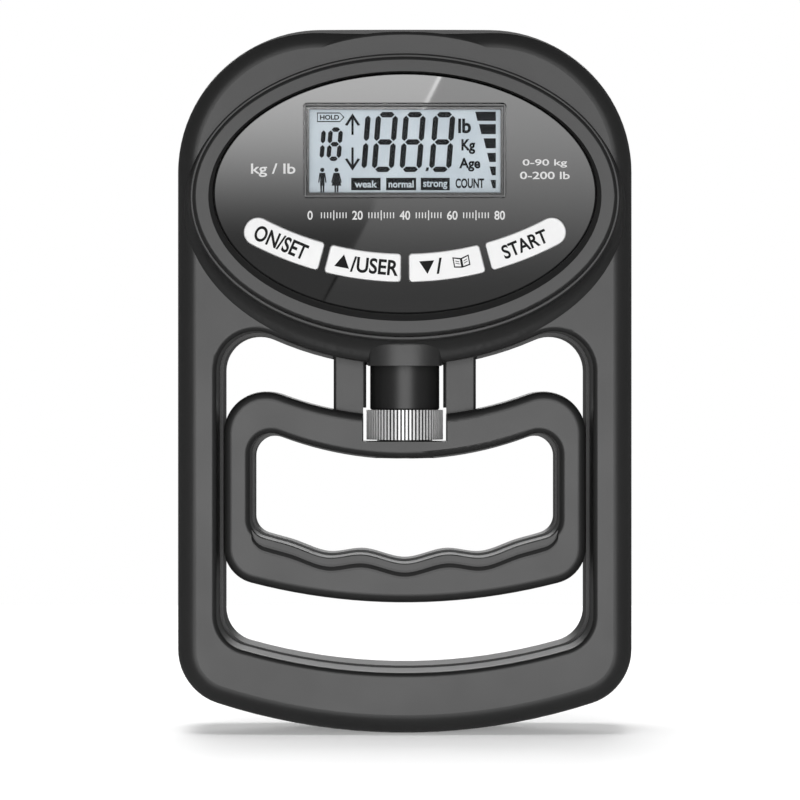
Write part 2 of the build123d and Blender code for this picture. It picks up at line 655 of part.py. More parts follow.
with BuildPart() as knob_sleeve:
    add(upright(SLEEVE_R, RING_HIGH, SLEEVE_TOP))
    chamfer(knob_sleeve.faces().filter_by(Axis.Z).edges(), 0.4)
    add(upright(7.6, CHANNEL_FLOOR + 0.2, RING_HIGH))
    add(upright(STUB_R, 75.9, CHANNEL_FLOOR + 0.2))
    add(upright(STUB_R + 1, 76.2, 76.95), mode=Mode.SUBTRACT)
    add(upright(STUB_R - 0.6, 76.2, 76.95))
    add(upright(3.6, 70, 120), mode=Mode.SUBTRACT)
    add(upright(5.5, 96, 120), mode=Mode.SUBTRACT)
knob_sleeve.part.label = "knob_sleeve"
export_step(knob_sleeve.part, "parts/knob_sleeve.step")

with BuildPart() as knurled_ring:
    with BuildSketch(level(RING_LOW, AXIS_Y)):
        Circle(KNURL_R - RIB_DEPTH)
        with PolarLocations(KNURL_R - RIB_DEPTH, KNURLS):
            Rectangle(2 * RIB_DEPTH, RIB_WIDE)
        Circle(7.6, mode=Mode.SUBTRACT)
    extrude(amount=RING_HIGH - RING_LOW)
knurled_ring.part.label = "knurled_ring"
export_step(knurled_ring.part, "parts/knurled_ring.step")

with BuildPart() as threaded_insert:
    add(upright(5.5, 96, SLEEVE_TOP))
    add(upright(ROD_R, 90, 120), mode=Mode.SUBTRACT)
    chamfer(threaded_insert.faces().sort_by(Axis.Z)[-1].inner_wires()[0].edges(), 0.6)
threaded_insert.part.label = "threaded_insert"
export_step(threaded_insert.part, "parts/threaded_insert.step")

with BuildPart() as thrust_washer:
    add(upright(7.5, 77.0, 77.65))
    add(upright(STUB_R + 0.1, 70, 80), mode=Mode.SUBTRACT)
thrust_washer.part.label = "thrust_washer"
export_step(thrust_washer.part, "parts/thrust_washer.step")

with BuildPart() as retaining_clip:
    add(upright(7.1, 76.25, 76.9))
    add(upright(STUB_R - 0.5, 70, 80), mode=Mode.SUBTRACT)
    add(block((-2.6, 2.6), (75, 78), PART_H, PART_H + 12), mode=Mode.SUBTRACT)
retaining_clip.part.label = "retaining_clip"
export_step(retaining_clip.part, "parts/retaining_clip.step")

# ---------------------------------------------------------------- inner grip
GRIP_INSIDE = offset(GRIP, amount=-WALL)
FINGERS_OUTSIDE = bowed_shape(
    FINGER_HALF + WALL, 44.6, 108.0, 6.0,
    FINGER_HIGH + WALL, FINGER_HIGH_BOW - WALL, FINGER_HIGH_CORNER + WALL,
)


def grip_hollow(out):
    """The space inside one half of the grip; out is +1 towards the display side and -1 towards the rear."""
    with BuildPart() as hollow:
        with BuildSketch(front(PART_H)):
            add(GRIP_INSIDE)
            add(FINGERS_OUTSIDE, mode=Mode.SUBTRACT)
            with Locations((0, 90)):
                Rectangle(46, 40, mode=Mode.SUBTRACT)
        extrude(amount=out * (GRIP_DEPTH / 2 - WALL))
    return hollow.part


def finger_step(out):
    """The shallow step under the finger grooves on one face of the grip, with a sloping edge."""
    with BuildPart() as step:
        for drop, depth in STEP_PROFILE:
            with BuildSketch(front(PART_H + out * (GRIP_DEPTH / 2 - depth))):
                add(finger_window(0.3, drop))
        loft(ruled=True)
    return step.part


def grip_posts(out):
    """One half of the two posts that slide in the head, with eased outer edges."""
    low = 82.0
    with BuildPart() as posts:
        with BuildSketch(front(PART_H)):
            for side in (-1, 1):
                with Locations((side * (POST_IN + POST_OUT) / 2, (POST_TOP + low) / 2)):
                    Rectangle(POST_OUT - POST_IN, POST_TOP - low)
        extrude(amount=out * POST_DEPTH / 2)
        outer = posts.edges().filter_by(Axis.Z).group_by(Axis.Y)[0 if out > 0 else -1]
        fillet(outer, 0.9)
    return posts.part


for name, out in (("grip_front", 1), ("grip_rear", -1)):
    with BuildPart() as grip:
        with BuildSketch(front(PART_H)):
            add(GRIP)
            add(FINGERS if out > 0 else FINGERS_REAR, mode=Mode.SUBTRACT)
        extrude(amount=out * GRIP_DEPTH / 2)
        outside = grip.faces().filter_by(Axis.Y).sort_by(Axis.Y)[0 if out > 0 else -1]
        fillet(outside.outer_wire().edges(), 2.5)
        outside = grip.faces().filter_by(Axis.Y).sort_by(Axis.Y)[0 if out > 0 else -1]
        fillet(outside.inner_wires()[0].edges(), FINGER_EDGE)
        inside = grip.faces().filter_by(Axis.Y).sort_by(Axis.Y)[-1 if out > 0 else 0]
        chamfer(inside.outer_wire().edges(), 0.25)
        add(finger_step(out), mode=Mode.SUBTRACT)
        add(grip_posts(out))
        add(grip_hollow(out), mode=Mode.SUBTRACT)
        with BuildSketch(front(PART_H)):
            with Locations(*GRIP_SCREWS):
                Circle(3.1)
        extrude(amount=out * (GRIP_DEPTH / 2 - WALL))
        channel = (-CHANNEL_HALF, CHANNEL_HALF)
        add(block(channel, (CHANNEL_FLOOR, CHANNEL_TOP), PART_H - 15, PART_H + 15), mode=Mode.SUBTRACT)
        add(upright(STUB_R + 0.2, 70, 90), mode=Mode.SUBTRACT)
        add(upright(POCKET_R, 70, POCKET_TOP), mode=Mode.SUBTRACT)
        if out > 0:
            add(pins(GRIP_SCREWS, 1.0, PART_H, PART_H + 7), mode=Mode.SUBTRACT)
        else:
            add(pins(GRIP_SCREWS, 1.4, PART_H - 15, PART_H), mode=Mode.SUBTRACT)
            add(pins(GRIP_SCREWS, 2.6, PART_H - 15, PART_H - 5), mode=Mode.SUBTRACT)
    grip.part.label = name
    export_step(grip.part, f"parts/{name}.step")

with BuildPart() as grip_screws:
    for spot in GRIP_SCREWS:
        add(pins([spot], 2.3, PART_H - 6.6, PART_H - 5))
        add(pins([spot], 1.0, PART_H - 5, PART_H + 6))
        add(pins([spot], 0.9, PART_H - 8, PART_H - 5.9), mode=Mode.SUBTRACT)
grip_screws.part.label = "grip_screws"
export_step(grip_screws.part, "parts/grip_screws.step")

# ---------------------------------------------------------------- batteries and their door
for name, z, side in (("battery_cell_upper", BATTERY_ROWS[1], 1), ("battery_cell_lower", BATTERY_ROWS[0], -1)):
    with BuildPart() as cell:
        with BuildSketch(across(-side * BATTERY_LONG / 2)):
            with Locations((-BATTERY_H, z)):
                Circle(BATTERY_R)
        extrude(amount=side * (BATTERY_LONG - 1.2))
        fillet(cell.edges().filter_by(GeomType.CIRCLE), 0.5)
        with BuildSketch(across(side * (BATTERY_LONG / 2 - 2))):
            with Locations((-BATTERY_H, z)):
                Circle(1.9)
        extrude(amount=side * 2)
    cell.part.label = name
    export_step(cell.part, f"parts/{name}.step")

for name, z, side in (("battery_spring_upper", BATTERY_ROWS[1], -1), ("battery_spring_lower", BATTERY_ROWS[0], 1)):
    start = side * (BAY_HALF - 0.8)
    with BuildPart() as spring:
        with BuildLine() as coil:
            Helix(1.1, 3.2, 2.6, center=(start, -BATTERY_H, z - BASE), direction=(-side, 0, 0))
        with BuildSketch(Plane(coil.line @ 0, z_dir=coil.line % 0)):
            Circle(0.3)
        sweep()
    spring.part.label = name
    export_step(spring.part, f"parts/{name}.step")

for name, side, z_range in (
    ("contact_bridge", 1, (151, 172)),
    ("contact_upper", -1, (163, 172)),
    ("contact_lower", -1, (151, 160)),
):
    x_range = sorted((side * BAY_HALF, side * (BAY_HALF - 0.4)))
    with BuildPart() as contact:
        add(block(x_range, z_range, BATTERY_H - 4.5, BATTERY_H + 4.5))
    contact.part.label = name
    export_step(contact.part, f"parts/{name}.step")

with BuildPart() as battery_door:
    with BuildSketch(front(REAR_H)):
        with Locations((0, (DOOR_LOW + DOOR_HIGH) / 2)):
            Rectangle(2 * DOOR_HALF, DOOR_HIGH - DOOR_LOW)
    extrude(amount=DOOR_THICK)
    with BuildSketch(across(-DOOR_HALF)):
        with Locations((HINGE_Y, DOOR_LOW)):
            Circle(BARREL_R)
    extrude(amount=2 * DOOR_HALF)
    with BuildSketch(across(-DOOR_HALF)):
        with Locations((HINGE_Y, DOOR_LOW)):
            Circle(0.75)
    extrude(amount=2 * DOOR_HALF, mode=Mode.SUBTRACT)
    with BuildSketch(front(REAR_H)):
        for z in (161.5, 163.7, 165.9):
            with Locations((0, z)):
                SlotOverall(20, 1.1)
    extrude(amount=0.5, mode=Mode.SUBTRACT)
battery_door.part.label = "battery_door"
export_step(battery_door.part, "parts/battery_door.step")

with BuildPart() as door_pin:
    with BuildSketch(across(-DOOR_HALF - 1.1)):
        with Locations((HINGE_Y, DOOR_LOW)):
            Circle(0.65)
    extrude(amount=2 * (DOOR_HALF + 1.1))
door_pin.part.label = "door_pin"
export_step(door_pin.part, "parts/door_pin.step")

with BuildPart() as rear_label:
    with BuildSketch(front(REAR_H + 0.05)):
        with Locations((0, 125)):
            RectangleRounded(57.4, 25.4, 1.8)
    extrude(amount=0.25)
rear_label.part.label = "rear_label"
export_step(rear_label.part, "parts/rear_label.step")
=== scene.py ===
"""Looks of the hand dynamometer: materials, key legends, display graphics, studio and camera.

Metres, in the frame of the CAD: X to the right, Z up, and the display faces -Y.
"""

import json
from math import cos, pi, radians, sin

import bpy
from mathutils import Matrix, Vector


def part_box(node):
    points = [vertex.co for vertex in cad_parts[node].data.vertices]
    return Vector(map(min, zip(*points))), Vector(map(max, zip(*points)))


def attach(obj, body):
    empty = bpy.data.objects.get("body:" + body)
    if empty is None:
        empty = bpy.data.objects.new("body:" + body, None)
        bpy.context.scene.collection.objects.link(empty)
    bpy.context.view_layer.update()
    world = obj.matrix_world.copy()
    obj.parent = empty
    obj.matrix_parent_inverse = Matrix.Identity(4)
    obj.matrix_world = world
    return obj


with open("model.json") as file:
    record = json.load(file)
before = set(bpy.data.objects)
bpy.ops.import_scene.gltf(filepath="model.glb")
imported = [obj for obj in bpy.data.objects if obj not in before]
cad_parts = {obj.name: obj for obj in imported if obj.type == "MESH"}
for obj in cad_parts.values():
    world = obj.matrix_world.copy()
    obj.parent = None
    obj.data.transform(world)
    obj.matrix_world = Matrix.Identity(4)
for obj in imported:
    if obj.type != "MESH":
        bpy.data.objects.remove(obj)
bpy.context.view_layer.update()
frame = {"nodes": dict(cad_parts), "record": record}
NODES = frame["nodes"]


# ---------------------------------------------------------------- materials
class Surface:
    """A material under construction, with short ways to add nodes and links."""

    def __init__(self, name, **sockets):
        self.material = bpy.data.materials.new(name)
        self.material.use_nodes = True
        self.tree = self.material.node_tree
        self.shader = self.tree.nodes["Principled BSDF"]
        for key, value in sockets.items():
            self.shader.inputs[key.replace("_", " ")].default_value = value
        self.place = self.add("ShaderNodeTexCoord").outputs["Object"]

    def add(self, kind, **settings):
        node = self.tree.nodes.new(kind)
        for key, value in settings.items():
            setattr(node, key, value)
        return node

    def link(self, output, target):
        self.tree.links.new(output, target)

    def noise(self, scale, detail=2.0, stretch=None):
        """Noise over the object's own coordinates; stretch squeezes it along each axis."""
        place = self.place
        if stretch:
            mapping = self.add("ShaderNodeMapping")
            mapping.inputs["Scale"].default_value = stretch
            self.link(place, mapping.inputs["Vector"])
            place = mapping.outputs["Vector"]
        node = self.add("ShaderNodeTexNoise")
        node.inputs["Scale"].default_value = scale
        node.inputs["Detail"].default_value = detail
        self.link(place, node.inputs["Vector"])
        return node.outputs["Fac"]

    def ramp(self, fac, low, high, start=0.35, end=0.65):
        """A value that goes from low to high as fac goes from start to end."""
        node = self.add("ShaderNodeMapRange")
        node.inputs["From Min"].default_value = start
        node.inputs["From Max"].default_value = end
        node.inputs["To Min"].default_value = low
        node.inputs["To Max"].default_value = high
        self.link(fac, node.inputs["Value"])
        return node.outputs["Result"]

    def tint(self, fac, dark, light):
        """Colour the surface between two tones."""
        node = self.add("ShaderNodeMix", data_type="RGBA")
        node.inputs[6].default_value = (*dark, 1)
        node.inputs[7].default_value = (*light, 1)
        self.link(fac, node.inputs["Factor"])
        self.link(node.outputs[2], self.shader.inputs["Base Color"])

    def bump(self, height, distance, strength=1.0):
        node = self.add("ShaderNodeBump")
        node.inputs["Distance"].default_value = distance
        node.inputs["Strength"].default_value = strength
        self.link(height, node.inputs["Height"])
        self.link(node.outputs["Normal"], self.shader.inputs["Normal"])


def grey(value):
    return (value, value, value)


def moulded(name, shade, rough, grain=2600, depth=0.00001, vary=0.05, patch=0.02, **sockets):
    """Moulded plastic: fine spark-eroded grain, slow colour drift and handled patches of gloss."""
    surface = Surface(name, **sockets)
    drift = surface.noise(35, 3)
    surface.tint(surface.ramp(drift, 0, 1), grey(shade * (1 - vary)), grey(shade * (1 + vary)))
    gloss = surface.ramp(surface.noise(60, 4), rough - patch, rough + patch)
    surface.link(gloss, surface.shader.inputs["Roughness"])
    surface.bump(surface.noise(grain, 2), depth)
    return surface.material


def metal(name, colour, rough, stretch=(1, 1, 60), scale=900, depth=0.000004, dim=0.82, patch=0.08):
    """Turned or brushed metal, with fine lines that are packed along the stretched axis."""
    surface = Surface(name, Metallic=1.0)
    lines = surface.noise(scale, 3, stretch)
    surface.tint(surface.ramp(lines, 0, 1), [channel * dim for channel in colour], colour)
    surface.link(surface.ramp(lines, rough - patch, rough + patch), surface.shader.inputs["Roughness"])
    surface.bump(lines, depth)
    return surface.material


MATERIALS = {
    "shell": moulded("shell_plastic", 0.016, 0.36, Specular_IOR_Level=0.5),
    "grip": moulded("grip_plastic", 0.016, 0.36, Specular_IOR_Level=0.5),
    "bezel": moulded("bezel_plastic", 0.014, 0.30, depth=0.000006, Specular_IOR_Level=0.45),
    "panel": moulded("panel_gloss", 0.006, 0.02, grain=60, depth=0.0000001, patch=0.005),
    "keycap": moulded("keycap_plastic", 0.74, 0.38, grain=3200, depth=0.000004, vary=0.02),
    "silicone": moulded("silicone_grey", 0.12, 0.6),
    "white_plastic": moulded("white_plastic", 0.62, 0.45, vary=0.03),
    "black_acetal": moulded("sleeve_acetal", 0.012, 0.38, grain=1500, depth=0.000003),
    "natural_acetal": moulded("bush_acetal", 0.6, 0.4, vary=0.03),
    "black_component": moulded("component_epoxy", 0.02, 0.5),
    "label": moulded("label_film", 0.30, 0.33, grain=4000, depth=0.000003, vary=0.03),
    "cable": moulded("lead_pvc", 0.2, 0.4),
    "steel": metal("zinc_steel", (0.56, 0.57, 0.58), 0.32),
    "spring_steel": metal("nickel_wire", (0.62, 0.62, 0.63), 0.25),
    "aluminium": metal("milled_aluminium", (0.74, 0.75, 0.77), 0.34, stretch=(60, 1, 1)),
    "brass": metal("turned_brass", (0.78, 0.58, 0.26), 0.28),
}


def tinted(name, dark, light, rough, scale=40, **sockets):
    """A coloured coating with a slow drift between two tones."""
    surface = Surface(name, Roughness=rough, **sockets)
    surface.tint(surface.ramp(surface.noise(scale, 3), 0, 1), dark, light)
    surface.bump(surface.noise(1800, 2), 0.000004)
    return surface.material


MATERIALS["pcb"] = tinted("solder_mask", (0.008, 0.07, 0.03), (0.012, 0.10, 0.04), 0.35, 300)
MATERIALS["battery"] = tinted("battery_sleeve", (0.55, 0.24, 0.03), (0.62, 0.28, 0.04), 0.3)
MATERIALS["gauge_foil"] = tinted("gauge_film", (0.45, 0.2, 0.04), (0.55, 0.27, 0.06), 0.4, 900)
MATERIALS["lcd"] = tinted("lcd_fluid", (0.60, 0.69, 0.76), (0.70, 0.79, 0.85), 0.30, 120)
MATERIALS["lcd_ink"] = moulded("lcd_segments", 0.003, 0.6, vary=0.1, Specular_IOR_Level=0.12)
MATERIALS["legend_ink"] = moulded("key_legend_ink", 0.005, 0.6, vary=0.1, Specular_IOR_Level=0.15)
MATERIALS["print_ink"] = moulded("panel_print_ink", 0.62, 0.5, vary=0.03)
MATERIALS["border_ink"] = moulded("border_print_ink", 0.12, 0.5, vary=0.03)

clear = Surface("window_clear", Roughness=0.03, IOR=1.49, Alpha=0.10)
clear.tint(clear.ramp(clear.noise(20), 0, 1), (0.18, 0.20, 0.22), (0.22, 0.24, 0.26))
MATERIALS["window"] = clear.material


def plated_knurl(rib_radius, rib_depth, painted_groove_shade=0.02, rib_shade=0.72):
    """Plated ribs with painted shade: the colour goes dark down in the grooves between them."""
    surface = Surface("plated_knurl", Metallic=0.35, Roughness=0.38)
    low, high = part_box("knurled_ring")
    outward = surface.add("ShaderNodeVectorMath", operation="MULTIPLY_ADD")
    outward.inputs[1].default_value = (1, 1, 0)
    outward.inputs[2].default_value = (-(low.x + high.x) / 2, -(low.y + high.y) / 2, 0)
    surface.link(surface.place, outward.inputs[0])
    radius = surface.add("ShaderNodeVectorMath", operation="LENGTH")
    surface.link(outward.outputs["Vector"], radius.inputs[0])
    # Painted shade: near black at the groove bottoms, rising to the plated tone on the ribs, by distance
    # from the ring's axis.
    height = surface.ramp(radius.outputs["Value"], 0, 1, rib_radius - rib_depth, rib_radius)
    surface.tint(height, grey(painted_groove_shade), grey(rib_shade))
    surface.bump(surface.noise(2400, 2), 0.000003)
    return surface.material


MATERIALS["knurl"] = plated_knurl(0.0105, 0.0004)

slots = {part["node"]: part["material_slot"] for part in frame["record"]["subparts"]}
for name, node in NODES.items():
    for material_slot in node.material_slots:
        material_slot.material = MATERIALS[slots[name]]


# ---------------------------------------------------------------- flat printed graphics
PRINT_THICK = 0.00004


def add_mesh(name, outlines, y, material, body):
    """Closed outlines in the front plane, made into thin printed plates just proud of depth y."""
    points = []
    faces = []
    for outline in outlines:
        start = len(points)
        count = len(outline)
        points += [(x, y - PRINT_THICK, z) for x, z in outline]
        points += [(x, y, z) for x, z in outline]
        faces.append([start + i for i in range(count)])
        faces.append([start + count + i for i in reversed(range(count))])
        for i in range(count):
            j = (i + 1) % count
            faces.append([start + i, start + count + i, start + count + j, start + j])
    mesh = bpy.data.meshes.new(name)
    mesh.from_pydata(points, [], faces)
    mesh.update()
    piece = bpy.data.objects.new(name, mesh)
    bpy.context.scene.collection.objects.link(piece)
    mesh.materials.append(MATERIALS[material])
    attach(piece, body)
    return piece


def add_text(name, text, x, y, z, size, material, body, weight, fit, turn=0.0):
    """A word printed on a front face, centred on x and z and turned about the viewing axis.

    The weight thickens the strokes. The fit, a width and a height, stretches the word to a space.
    """
    curve = bpy.data.curves.new(name, "FONT")
    curve.body = text
    curve.size = size
    curve.align_x = "CENTER"
    curve.align_y = "CENTER"
    curve.extrude = PRINT_THICK / 2
    curve.offset = weight
    curve.resolution_u = 6
    piece = bpy.data.objects.new(name, curve)
    bpy.context.scene.collection.objects.link(piece)
    bpy.context.view_layer.update()
    mesh = bpy.data.meshes.new_from_object(piece)
    bpy.data.objects.remove(piece)
    across = [vertex.co.x for vertex in mesh.vertices]
    along = [vertex.co.y for vertex in mesh.vertices]
    wide, tall = max(across) - min(across), max(along) - min(along)
    stretch = Matrix.Diagonal((fit[0] / wide, fit[1] / tall, 1, 1))
    centre = Matrix.Translation((-min(across) - wide / 2, -min(along) - tall / 2, 0))
    upright = Matrix.Rotation(-turn, 4, "Y") @ Matrix.Rotation(pi / 2, 4, "X")
    stand = Matrix.Translation((x, y - PRINT_THICK / 2, z)) @ upright
    mesh.transform(stand @ stretch @ centre)
    mesh.materials.clear()
    mesh.materials.append(MATERIALS[material])
    piece = bpy.data.objects.new(name, mesh)
    bpy.context.scene.collection.objects.link(piece)
    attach(piece, body)
    return piece


# ---------------------------------------------------------------- display graphics
WINDOW_LOW, WINDOW_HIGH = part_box("display_window")
LCD_X, LCD_Z = (WINDOW_LOW.x + WINDOW_HIGH.x) / 2, (WINDOW_LOW.z + WINDOW_HIGH.z) / 2
LCD_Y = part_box("lcd_glass")[0].y
VIEW_WIDE, VIEW_TALL = 0.051, 0.0222
LEAN = 0.08
BAR_GAP = 0.16


def spot(u, v):
    """A place on the display: u across from the left and v down from the top, both 0 to 1."""
    return LCD_X + (u - 0.5) * VIEW_WIDE, LCD_Z + (0.5 - v) * VIEW_TALL


def bar(x0, y0, x1, y1, stroke):
    """One level or upright bar of a digit, with pointed ends that stop short of its neighbours."""
    half = stroke / 2
    gap = stroke * BAR_GAP
    if y0 == y1:
        x0, x1 = x0 + gap, x1 - gap
        return [(x0, y0), (x0 + half, y0 - half), (x1 - half, y0 - half),
                (x1, y0), (x1 - half, y0 + half), (x0 + half, y0 + half)]
    y0, y1 = y0 + gap, y1 - gap
    return [(x0, y0), (x0 + half, y0 + half), (x0 + half, y1 - half),
            (x0, y1), (x0 - half, y1 - half), (x0 - half, y0 + half)]


def segments(u, v, wide, tall, stroke, shown="abcdefg"):
    """Seven-segment digit as bevelled bars; u, v is its upper left corner before leaning."""
    top, middle, bottom = 0.0, tall / 2, tall
    bars = {
        "a": (0.0, top, wide, top),
        "g": (0.0, middle, wide, middle),
        "d": (0.0, bottom, wide, bottom),
        "f": (0.0, top, 0.0, middle),
        "e": (0.0, middle, 0.0, bottom),
        "b": (wide, top, wide, middle),
        "c": (wide, middle, wide, bottom),
    }
    corner_x, corner_z = spot(u, v)
    return [
        [(corner_x + x + LEAN * (tall - y), corner_z - y) for x, y in bar(*bars[key], stroke)]
        for key in shown
    ]


def box_outline(u0, v0, u1, v1):
    """An upright box between two places on the display."""
    x0, z0 = spot(u0, v0)
    x1, z1 = spot(u1, v1)
    return [(x0, z0), (x1, z0), (x1, z1), (x0, z1)]


def polygon(*places):
    """An outline through places on the display."""
    return [spot(u, v) for u, v in places]


def arrow(u, v0, v1, shaft=0.006):
    """A thin arrow on the display whose open head points to v1."""
    way = 1 if v1 > v0 else -1
    shaft_end = v1 - way * 0.05
    barb, barb_back, notch = v1 - way * 0.14, v1 - way * 0.15, v1 - way * 0.055
    return [
        polygon((u - shaft, v0), (u + shaft, v0), (u + shaft, shaft_end), (u - shaft, shaft_end)),
        polygon((u, v1), (u + 0.04, barb), (u + 0.027, barb_back), (u, notch),
                (u - 0.027, barb_back), (u - 0.04, barb)),
    ]


def person(u, v, arm, flare, head_radius=0.00058):
    """A small standing figure: a round head, a body that may flare into a skirt, and two legs."""
    x, z = spot(u, v)
    turns = [i * pi / 6 for i in range(12)]
    head = [(x + head_radius * cos(turn), z + head_radius * sin(turn)) for turn in turns]
    shoulder, waist, hand, cuff, hem, foot = v + 0.035, v + 0.080, v + 0.150, v + 0.155, v + 0.190, v + 0.27
    hem_half = 0.012 + flare
    trunk = polygon((u - 0.015, shoulder), (u + 0.015, shoulder),
                    (u + arm, hand), (u + arm - 0.006, cuff), (u + 0.011, waist),
                    (u + hem_half, hem), (u - hem_half, hem),
                    (u - 0.011, waist), (u - arm + 0.006, cuff), (u - arm, hand))
    legs = [
        polygon((u + side * 0.002, v + 0.185), (u + side * 0.011, v + 0.185),
                (u + side * 0.010, foot), (u + side * 0.002, foot))
        for side in (-1, 1)
    ]
    return [head, trunk, *legs]


# The reading: a one, three full digits and a decimal point.
DIGIT_TOP, DIGIT_TALL, DIGIT_STROKE = 0.056, 0.0146, 0.00145
ONE_WIDE, DIGIT_WIDE = 0.0012, 0.0045
shapes = segments(0.262, DIGIT_TOP, ONE_WIDE, DIGIT_TALL, DIGIT_STROKE, "bc")
for u in (0.340, 0.485, 0.640):
    shapes += segments(u, DIGIT_TOP, DIGIT_WIDE, DIGIT_TALL, DIGIT_STROKE)
shapes.append(polygon((0.612, 0.69), (0.627, 0.69), (0.622, 0.735), (0.607, 0.735)))

# The user's number, the arrows and the two figures.
USER_TOP, USER_TALL, USER_STROKE = 0.235, 0.0078, 0.0012
shapes += segments(0.056, USER_TOP, 0.0004, USER_TALL, USER_STROKE, "bc")
shapes += segments(0.100, USER_TOP, 0.0027, USER_TALL, USER_STROKE)
shapes += arrow(0.226, 0.30, 0.04) + arrow(0.226, 0.45, 0.73)
shapes += person(0.068, 0.72, 0.022, 0.0) + person(0.142, 0.72, 0.028, 0.014)

# The ladder of bars, the three level boxes, and the pointed frame round HOLD.
LADDER = (
    (0.868, 0.02, 0.13), (0.888, 0.17, 0.29), (0.912, 0.34, 0.46),
    (0.930, 0.515, 0.625), (0.943, 0.68, 0.785), (0.948, 0.84, 0.94),
)
LADDER_RIGHT, LADDER_SLANT = 0.976, 0.012
for u0, v0, v1 in LADDER:
    shapes.append(polygon((u0, v0), (LADDER_RIGHT, v0), (LADDER_RIGHT, v1), (u0 + LADDER_SLANT, v1)))
for u0, u1 in ((0.219, 0.373), (0.402, 0.559), (0.583, 0.735)):
    shapes.append(box_outline(u0, 0.815, u1, 0.965))
for v0, v1 in ((0.030, 0.042), (0.133, 0.145)):
    shapes.append(box_outline(0.044, v0, 0.160, v1))
shapes.append(polygon((0.160, 0.030), (0.184, 0.0875), (0.160, 0.145),
                      (0.160, 0.133), (0.177, 0.0875), (0.160, 0.042)))
shapes.append(box_outline(0.040, 0.030, 0.044, 0.145))
add_mesh("lcd_segments", shapes, LCD_Y, "lcd_ink", "frame")
PRINT_SIZE = 0.003


def lcd_word(name, label, u0, v0, u1, v1, material, proud=0.0, weight=0.00010):
    """A word of the display, filling the box between two places on it."""
    x0, z0 = spot(u0, v0)
    x1, z1 = spot(u1, v1)
    add_text(name, label, (x0 + x1) / 2, LCD_Y - proud, (z0 + z1) / 2, PRINT_SIZE, material, "frame",
             weight=weight, fit=(x1 - x0, z0 - z1))


for label, u0, v0, u1, v1 in (
    ("HOLD", 0.056, 0.058, 0.156, 0.117),
    ("lb", 0.779, 0.103, 0.846, 0.280),
    ("Kg", 0.796, 0.350, 0.868, 0.530),
    ("Age", 0.784, 0.575, 0.895, 0.740),
    ("COUNT", 0.765, 0.822, 0.915, 0.940),
):
    lcd_word("lcd_word_" + label, label, u0, v0, u1, v1, "lcd_ink")
for label, u0, u1, v1 in (
    ("weak", 0.237, 0.355, 0.933),
    ("normal", 0.415, 0.546, 0.933),
    ("strong", 0.596, 0.722, 0.953),
):
    lcd_word("lcd_level_" + label, label, u0, 0.848, u1, v1, "lcd", proud=PRINT_THICK, weight=0.00007)

# ---------------------------------------------------------------- printing on the panel
PANEL_LOW, PANEL_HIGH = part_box("face_panel")
PANEL_Y = PANEL_LOW.y
EDGE_LINE, EDGE_INSET = 0.0003, 0.0004


def upright_box(x0, z0, x1, z1):
    """An upright box in metres, from its lower left corner to its upper right one."""
    return [(x0, z0), (x1, z0), (x1, z1), (x0, z1)]


left, low = WINDOW_LOW.x + EDGE_INSET, WINDOW_LOW.z + EDGE_INSET
right, high = WINDOW_HIGH.x - EDGE_INSET, WINDOW_HIGH.z - EDGE_INSET
border = [
    upright_box(left, low, right, low + EDGE_LINE),
    upright_box(left, high - EDGE_LINE, right, high),
    upright_box(left, low + EDGE_LINE, left + EDGE_LINE, high - EDGE_LINE),
    upright_box(right - EDGE_LINE, low + EDGE_LINE, right, high - EDGE_LINE),
]
add_mesh("window_border_print", border, WINDOW_LOW.y, "border_ink", "frame")

# A graduated scale: a number at each step, and nine ticks between two numbers.
SCALE_Z, SCALE_HALF, SCALE_TALL = 0.1393, 0.0252, 0.0026
STEPS, STEP_VALUE, STEP_PARTS = 4, 20, 10
PITCH = 2 * SCALE_HALF / STEPS
NUMBER_ROOM = 0.0022
LONG_TICK, SHORT_TICK, TICK_HALF_WIDE = SCALE_TALL / 2, SCALE_TALL / 3.4, 0.00014
FIGURE_WIDE, FIGURE_TALL = 0.0014, SCALE_TALL * 0.92
ticks = []
for step in range(STEPS):
    start = -SCALE_HALF + step * PITCH
    for tick in range(1, STEP_PARTS):
        x = start + NUMBER_ROOM + tick * (PITCH - 2 * NUMBER_ROOM) / STEP_PARTS
        half = LONG_TICK if tick == STEP_PARTS / 2 else SHORT_TICK
        ticks.append(upright_box(x - TICK_HALF_WIDE, SCALE_Z - half, x + TICK_HALF_WIDE, SCALE_Z + half))
add_mesh("scale_ticks", ticks, PANEL_Y, "print_ink", "frame")
for step in range(STEPS + 1):
    value = str(STEP_VALUE * step)
    add_text("scale_number_" + value, value, -SCALE_HALF + step * PITCH, PANEL_Y, SCALE_Z, PRINT_SIZE,
             "print_ink", "frame", weight=0.00005, fit=(FIGURE_WIDE * len(value), FIGURE_TALL))
for name, words, x, z, wide, tall in (
    ("units_print", "kg / lb", -0.0350, 0.1513, 0.0118, 0.0036),
    ("range_print_upper", "0-90 kg", 0.0372, 0.1531, 0.0118, 0.0022),
    ("range_print_lower", "0-200 lb", 0.0372, 0.1499, 0.0132, 0.0020),
):
    add_text(name, words, x, PANEL_Y, z, PRINT_SIZE, "print_ink", "frame",
             weight=0.00004, fit=(wide, tall))

# ---------------------------------------------------------------- key legends
KEY_CENTRE_Z = 0.2096
KEY_RADIUS = 0.08425
LEGEND_SIZE = 0.005


def on_key(angle, key):
    """A place on the arc of keys, by its angle from straight down."""
    a = radians(angle)
    return KEY_RADIUS * sin(a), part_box(key)[0].y, KEY_CENTRE_Z - KEY_RADIUS * cos(a), a


def turned(outline, x, z, a):
    """An outline about the origin, turned with the arc of keys and moved to x and z."""
    return [(x + px * cos(a) - pz * sin(a), z + px * sin(a) + pz * cos(a)) for px, pz in outline]


